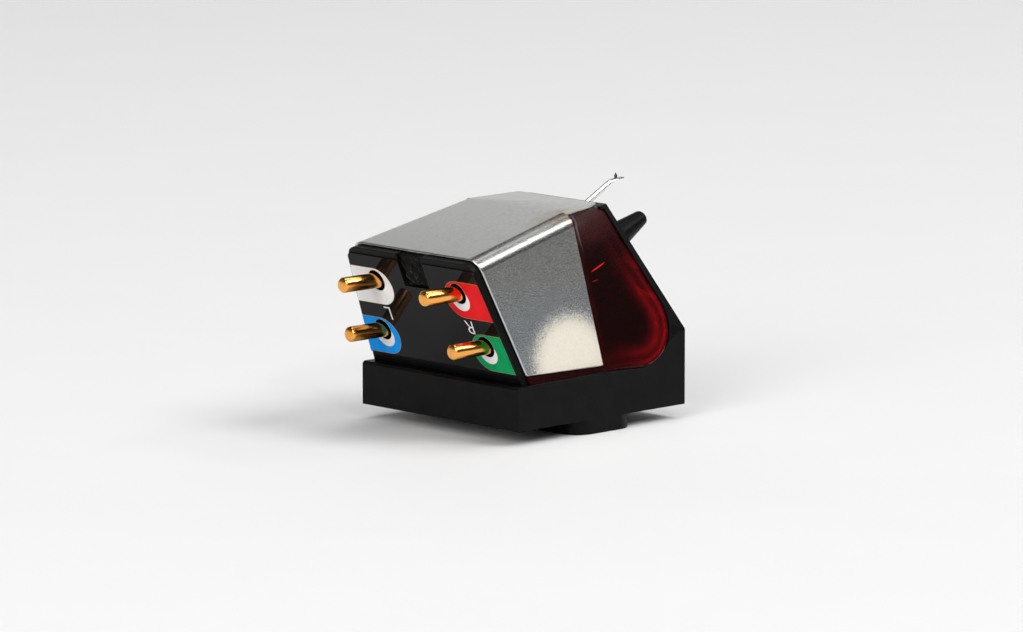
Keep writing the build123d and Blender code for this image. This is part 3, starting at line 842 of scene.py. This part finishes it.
forwards = Vector((1, 0, 0))
upwards = Vector((0, 0, 1))
pin_axes = {}
for pin in PINS:
    low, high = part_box(f"terminal_pin_{pin}")
    tip = Vector((low[0], (low[1] + high[1]) / 2, (low[2] + high[2]) / 2))
    pin_axes[pin] = tip / MM
    bm = spun(tip, forwards, upwards, PIN_PROFILE, PIN_STEPS)
    make_piece(bm, f"gold_pin_{pin}", gold_plate, BODY, [f"terminal_pin_{pin}"])

# %% [markdown]
# ## Printed flags
# A coloured flag round each pin tells which wire belongs on it.
# Each flag runs in from the film's edge to a round end, with a white disc behind the pin's hole.
# The holes come first, where the pins' axes meet the leaning film.

# %% Lay out the flags
FLAG_MARGIN = 0.06
FLAG_RADIUS = 1.71
LINE_WIDTH = 0.03
DISC_RADIUS = 1.02
DISC_EDGE = 0.01
HOLE_RADIUS = 0.885
INK_DEPTH = 0.006
LINE_LIFT = LABEL_FACE - INK_DEPTH
FLAG_LIFT = LABEL_FACE - 2.5 * INK_DEPTH
DISC_LIFT = LABEL_FACE - 4 * INK_DEPTH
PRINT_STEPS = 96
PRINT_NEARLY = 0.001
FLAGS = {
    "left_upper": (4.87, 7.65, "white"),
    "left_lower": (6.09, 2.82, "blue"),
    "right_upper": (-4.87, 7.65, "red"),
    "right_lower": (-6.09, 2.82, "green"),
}


def hole_place(pin):
    """Where a pin's axis meets the film, across and up the wall."""
    height = pin_axes[pin].z - WALL_FOOT.z - LABEL_FACE * math.sin(WALL_LEAN)
    return pin_axes[pin].y, height / math.cos(WALL_LEAN)


for pin in PINS:
    print(pin, "hole across and up the film:", [round(value, 2) for value in hole_place(pin)])

# %% [markdown]
# ## Layers of ink
# The flags could be painted in a finish, but thin layers of real ink keep crisp edges from near by.
# A ring is bridged between the flag's outline and the hole, and thickened to the depth of the ink.

# %% Helpers for layers of ink


def round_hole(bm, y, v, lift):
    """The loop of a pin's hole, which looks taller on the leaning wall."""
    stretch = Matrix.Diagonal((HOLE_RADIUS, HOLE_RADIUS / math.cos(WALL_LEAN), 1, 1))
    place = Matrix.Translation((y, v, lift)) @ stretch
    return bmesh.ops.create_circle(bm, segments=PRINT_STEPS, radius=1, matrix=place)["verts"]


def printed(bm, name, ink):
    """An ink layer: the ring between two loops, thickened and laid on the wall."""
    bmesh.ops.bridge_loops(bm, edges=bm.edges)
    bmesh.ops.recalc_face_normals(bm, faces=bm.faces)
    bmesh.ops.solidify(bm, geom=bm.faces[:], thickness=INK_DEPTH)
    bmesh.ops.transform(bm, matrix=wall_place, verts=bm.verts)
    return make_piece(bm, name, ink, BODY)


def print_flag(pin, radius, lift, name, ink):
    """A flag from the film's edge to a round end of some radius, open round the pin's hole."""
    flag_y, flag_v, _ = FLAGS[pin]
    side = math.copysign(1, flag_y)
    bm = bmesh.new()
    end = Matrix.Translation((flag_y, flag_v, lift))
    outline = bmesh.ops.create_circle(bm, segments=PRINT_STEPS, radius=radius, matrix=end)["verts"]
    for vert in outline:
        if (vert.co.x - flag_y) * side > PRINT_NEARLY:
            vert.co.x = side * (label_edge(vert.co.y) - FLAG_MARGIN)
    round_hole(bm, *hole_place(pin), lift)
    printed(bm, name, ink)


# %% [markdown]
# ## Printing
# Three layers lie over each other, and the first is larger, so a thin gold line shows round each flag.
# The white disc isn't quite centred on its pin, so rays from the pin's axis find the disc's outline.

# %% Print the flags


def print_disc(pin, lift):
    """The white disc behind a pin, or a thin ring where the hole reaches past it."""
    flag_y, flag_v, _ = FLAGS[pin]
    hole_y, hole_v = hole_place(pin)
    centre = Vector((hole_y, hole_v, lift))
    offset = Vector((hole_y - flag_y, hole_v - flag_v, 0))
    bm = bmesh.new()
    round_hole(bm, hole_y, hole_v, lift)
    for vert in round_hole(bm, hole_y, hole_v, lift):
        ray = (vert.co - centre).normalized()
        along = ray.dot(offset)
        reach = math.sqrt(max(along * along - offset.length_squared + DISC_RADIUS**2, 0)) - along
        vert.co = centre + ray * max(reach, (vert.co - centre).length + DISC_EDGE)
    printed(bm, f"disc_{pin}", inks["white"])


for pin, (_, _, colour) in FLAGS.items():
    print_flag(pin, FLAG_RADIUS + LINE_WIDTH, LINE_LIFT, f"flag_line_{pin}", inks["gold"])
    print_flag(pin, FLAG_RADIUS, FLAG_LIFT, f"flag_{pin}", inks[colour])
    print_disc(pin, DISC_LIFT)

# %% [markdown]
# ## Channel marks
# A plain L and R name the channels, upside down here because the cartridge lies on its pads.
# Letters start as text, become a mesh, and are then laid on the wall like the flags.

# %% Print the channel marks
MARK_HEIGHT = 1.3
MARKS = {"L": (4.75, 5.13), "R": (-4.86, 5.08)}
CAPITAL_SHARE = 0.729
STROKE_THINNING = -0.018

for letter, (y, v) in MARKS.items():
    text = bpy.data.curves.new(f"mark_{letter}", "FONT")
    text.body = letter
    text.size = MARK_HEIGHT / CAPITAL_SHARE
    text.offset = STROKE_THINNING
    text.extrude = INK_DEPTH
    carrier = bpy.data.objects.new("mark_carrier", text)
    scene.collection.objects.link(carrier)
    bpy.context.view_layer.update()
    finished_scene = bpy.context.evaluated_depsgraph_get()
    flat = bpy.data.meshes.new_from_object(carrier.evaluated_get(finished_scene))
    bm = bmesh.new()
    bm.from_mesh(flat)
    bpy.data.objects.remove(carrier)
    bmesh.ops.remove_doubles(bm, verts=bm.verts, dist=PRINT_NEARLY)
    xs = [vert.co.x for vert in bm.verts]
    ys = [vert.co.y for vert in bm.verts]
    middle = Vector((min(xs) + max(xs), min(ys) + max(ys), 0)) / 2
    bmesh.ops.translate(bm, vec=-middle, verts=bm.verts)
    mark_place = Matrix.Translation((y, v, LINE_LIFT)) @ Matrix.Diagonal((1, -1, 1, 1))
    bmesh.ops.transform(bm, matrix=wall_place @ mark_place, verts=bm.verts)
    make_piece(bm, f"channel_mark_{letter}", inks["white"], BODY)

# %% [markdown]
# ## Potting resin
# The notch at the top of the rear wall was closed with drops of black resin, which set as shiny lumps.
# A fine grid over the notch is raised where each drop sits, and then thickened into the notch.
# The lumps could be sculpted by hand, but drops given by place and size are easy to move.

# %% Raise the resin lumps
NOTCH_HALF = 1.44
NOTCH_FOOT = 8.1736
NOTCH_HEAD = 10.9
DROPS = (
    (-0.65, 0.75, 0.5, 0.4),
    (0.55, 0.95, 0.52, 0.36),
    (-0.1, 1.65, 0.52, 0.34),
    (0.9, 1.9, 0.35, 0.25),
    (-0.95, 1.75, 0.35, 0.22),
    (0.1, 0.4, 0.35, 0.2),
)
RESIN_LEVEL = 0.16
RESIN_RIPPLE = 0.1
RIPPLE_PITCH = 2.6
RIPPLE_SEED = 0.4
RESIN_BACK = 1.1
RESIN_COLUMNS = 48
RESIN_ROWS = 44

bm = bmesh.new()
bmesh.ops.create_grid(bm, x_segments=RESIN_COLUMNS, y_segments=RESIN_ROWS, size=1)
for vert in bm.verts:
    y = vert.co.x * NOTCH_HALF
    v = NOTCH_FOOT + (vert.co.y + 1) / 2 * (NOTCH_HEAD - NOTCH_FOOT)
    depth = RESIN_LEVEL
    for drop_y, drop_v, drop_radius, drop_rise in DROPS:
        away = math.hypot(y - drop_y, v - NOTCH_FOOT - drop_v) / drop_radius
        depth -= drop_rise * math.exp(-(away**2))
    depth += RESIN_RIPPLE * noise.noise((y * RIPPLE_PITCH, v * RIPPLE_PITCH, RIPPLE_SEED))
    vert.co = (y, v, depth)
walls = bmesh.ops.extrude_face_region(bm, geom=bm.faces[:])["geom"]
for item in walls:
    if isinstance(item, bmesh.types.BMVert):
        item.co.z = RESIN_BACK
bmesh.ops.transform(bm, matrix=wall_place, verts=bm.verts)
make_piece(bm, "resin_lumps", resin, BODY, ["potting_resin"])

# %% [markdown]
# ## Cantilever
# The cantilever is a drawn aluminium tube whose end is pressed flat to hold the diamond.
# Rings are set along its path, from round to flat, and bridged one after another.
# A thick curve could give the tube, but not the change from round to flat.

# %% Bridge the cantilever
ARM_START = Vector((5.2432, 0, 16.42))
ARM_PITCH = math.radians(27.8)
TAB_PITCH = math.radians(3)
TUBE_RADIUS = 0.25
TAB_HALF_WIDTH = 0.3
TAB_HALF_THICKNESS = 0.1
TUBE_BACK = -3.9
TUBE_FRONT = 4.7
TUBE_STATIONS = (TUBE_BACK, -1, 2, 4.55)
TAB_START = Vector((9.905, 0, 18.8779))
TAB_LENGTH = 1.05
TAB_END_GAP = 0.04
RING_STEPS = 40
PRESS_STEPS = 8

arm_way = Vector((math.cos(ARM_PITCH), 0, math.sin(ARM_PITCH)))
tab_way = Vector((math.cos(TAB_PITCH), 0, math.sin(TAB_PITCH)))
tube_end = ARM_START + arm_way * TUBE_FRONT
rings = [(ARM_START + arm_way * station, ARM_PITCH, 0.0) for station in TUBE_STATIONS]
for step in range(PRESS_STEPS + 1):
    share = step / PRESS_STEPS
    eased = share * share * (3 - 2 * share)
    centre = tube_end.lerp(TAB_START, share)
    rings.append((centre, ARM_PITCH + (TAB_PITCH - ARM_PITCH) * eased, eased))
rings.append((TAB_START + tab_way * (TAB_LENGTH - TAB_END_GAP), TAB_PITCH, 1.0))

bm = bmesh.new()
last_ring = None
for centre, pitch, flat in rings:
    half_width = TUBE_RADIUS + (TAB_HALF_WIDTH - TUBE_RADIUS) * flat
    half_thickness = TUBE_RADIUS + (TAB_HALF_THICKNESS - TUBE_RADIUS) * flat
    turn = Matrix.Rotation(-pitch, 4, "Y") @ Matrix.Rotation(math.pi / 2, 4, "Y")
    size = Matrix.Diagonal((half_thickness, half_width, 1, 1))
    place = Matrix.Scale(MM, 4) @ Matrix.Translation(centre) @ turn @ size
    made = bmesh.ops.create_circle(bm, segments=RING_STEPS, radius=1, matrix=place)["verts"]
    ring = [edge for edge in bm.edges if edge.verts[0] in made and edge.verts[1] in made]
    if last_ring:
        bmesh.ops.bridge_loops(bm, edges=last_ring + ring)
    else:
        bmesh.ops.edgeloop_fill(bm, edges=ring)
    last_ring = ring
bmesh.ops.edgeloop_fill(bm, edges=last_ring)
make_piece(
    bm, "aluminium_cantilever", works["bright_aluminium"], ARM, ["cantilever"]
)

# %% [markdown]
# ## Stylus
# The diamond is a short round shank ground to a cone, glued through the flat end of the cantilever.
# Like the pins it is round, so its half profile is spun round its own axis.

# %% Spin the stylus
SHANK_FOOT = Vector((10.2193, 0, 18.9945))
STYLUS_TIP = Vector((10.1952, 0, 19.4538))
STYLUS_PROFILE = (
    (-0.12, 0.0),
    (-0.12, 0.13),
    (0.2, 0.13),
    (0.235, 0.118),
    (0.44, 0.02),
    (0.46, 0.0),
)
STYLUS_STEPS = 32

point_way = (STYLUS_TIP - SHANK_FOOT).normalized()
side_way = point_way.cross(Vector((0, 1, 0)))
bm = spun(SHANK_FOOT * MM, point_way, side_way, STYLUS_PROFILE, STYLUS_STEPS)
make_piece(bm, "diamond_stylus", works["diamond"], ARM, ["stylus"])

# %% [markdown]
# ## Floor
# The object stands on a sheet of pale paper that fills the view and catches its soft shadow.
# A flat disc is enough, as long as it reaches past everything that the camera sees.

# %% Lay the floor
FLOOR_RADIUS = 3.0
FLOOR_GAP = 0.01
FLOOR_STEPS = 96
PAPER_COLOURS = ((0.885, 0.885, 0.885), (0.895, 0.895, 0.895))
PAPER_ROUGHNESS = (0.65, 0.8)

bm = bmesh.new()
bmesh.ops.create_circle(bm, cap_ends=True, segments=FLOOR_STEPS, radius=FLOOR_RADIUS)
bmesh.ops.translate(bm, vec=(0, 0, solid_box[0][2] - FLOOR_GAP * MM), verts=bm.verts)
floor_mesh = bpy.data.meshes.new("pale_floor")
bm.to_mesh(floor_mesh)
bm.free()
floor_mesh.materials.append(plain_finish("pale_paper", PAPER_COLOURS, PAPER_ROUGHNESS, 1.5, 0.001))
floor = bpy.data.objects.new("pale_floor", floor_mesh)
scene.collection.objects.link(floor)
floor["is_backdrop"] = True
print("floor reaches", FLOOR_RADIUS, "metres")

# %% [markdown]
# ## Room
# Metal and gloss show what stands around them, so the room matters as much as the lamps.
# It is dim all round, apart from a pale paper wall behind the object, which the steel's top shows.
# The camera itself sees a plain pale grey behind the floor's edge.

# %% Light the room
ROOM_DIM = 0.07
PAPER_WALL = 0.79
PAPER_WALL_WAY = (0.69, 0.71, 0.0)
PAPER_WALL_SIDES = (0.35, 0.8)
PAPER_WALL_TOP = (0.42, 0.58)
BACKDROP = 0.88

room = bpy.data.worlds.new("dim_room")
room.use_nodes = True
scene.world = room
room_tree = room.node_tree
room_glow = room_tree.nodes["Background"]
room_glow.inputs["Color"].default_value = (1, 1, 1, 1)
outward = room_tree.nodes.new("ShaderNodeTexCoord")
towards_wall = room_tree.nodes.new("ShaderNodeVectorMath")
towards_wall.operation = "DOT_PRODUCT"
towards_wall.inputs[1].default_value = PAPER_WALL_WAY
upward = room_tree.nodes.new("ShaderNodeSeparateXYZ")
room_tree.links.new(outward.outputs["Generated"], towards_wall.inputs[0])
room_tree.links.new(outward.outputs["Generated"], upward.inputs["Vector"])
wall_width = spread(room_tree, towards_wall.outputs["Value"], 0, 1, *PAPER_WALL_SIDES)
wall_height = spread(room_tree, upward.outputs["Z"], 1, 0, *PAPER_WALL_TOP)
paper_wall = combine(room_tree, "MULTIPLY", wall_width, wall_height)
room_light = spread(room_tree, paper_wall, ROOM_DIM, PAPER_WALL, 0, 1)
room_tree.links.new(room_light, room_glow.inputs["Strength"])
room_seen = room_tree.nodes.new("ShaderNodeBackground")
room_seen.inputs["Color"].default_value = (BACKDROP, BACKDROP, BACKDROP, 1)
light_path = room_tree.nodes.new("ShaderNodeLightPath")
room_mix = room_tree.nodes.new("ShaderNodeMixShader")
room_tree.links.new(light_path.outputs["Is Camera Ray"], room_mix.inputs["Fac"])
room_tree.links.new(room_glow.outputs["Background"], room_mix.inputs[1])
room_tree.links.new(room_seen.outputs["Background"], room_mix.inputs[2])
room_tree.links.new(room_mix.outputs["Shader"], room_tree.nodes["World Output"].inputs["Surface"])
print("paper wall glows at", PAPER_WALL, "and the room at", ROOM_DIM)

# %% [markdown]
# ## Lamps
# A broad lamp overhead lights the paper evenly, and its size makes the shadow soft.
# A large lamp on the picture's right casts the soft shadow to the left.
# The rear lamp lights the printed film on the leaning wall and casts the shadow to the right.
# Two small lamps draw thin lines of light, one along the cover's fold and one on the ends of the pins.

# %% Hang the lamps
LAMPS = (
    ("broad_lamp", (0.0, 0.0, 1.4), 1.4, 0.6, 6.9),
    ("right_lamp", (0.49, -0.92, 1.16), 0.65, 0.65, 10.6),
    ("fold_lamp", (0.86, -0.44, 0.74), 0.2, 0.14, 1.2),
    ("front_lamp", (-0.62, -1.4, 0.954), 0.22, 0.22, 4.0),
    ("rear_lamp", (-0.96, -0.32, 0.48), 0.64, 0.64, 6.6),
)
LOOK_AT = Vector((0, 0, 9)) * MM

for name, place, width, height, power in LAMPS:
    lamp_data = bpy.data.lights.new(name, "AREA")
    lamp_data.shape = "RECTANGLE"
    lamp_data.size = width
    lamp_data.size_y = height
    lamp_data.energy = power
    lamp = bpy.data.objects.new(name, lamp_data)
    lamp.location = place
    lamp.rotation_euler = (LOOK_AT - Vector(place)).to_track_quat("-Z", "Y").to_euler()
    lamp.visible_camera = False
    scene.collection.objects.link(lamp)
    lamp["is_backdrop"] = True
print("lamps:", len(LAMPS))

# %% [markdown]
# ## Finish
# The size of the dressed object is written beside that of the solid model, so the two can be compared.

# %% Measure and finish
dressed_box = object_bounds()
dressed_size = [round((high - low) / MM, 2) for low, high in zip(*dressed_box)]
print("dressed model in millimetres:", dressed_size)
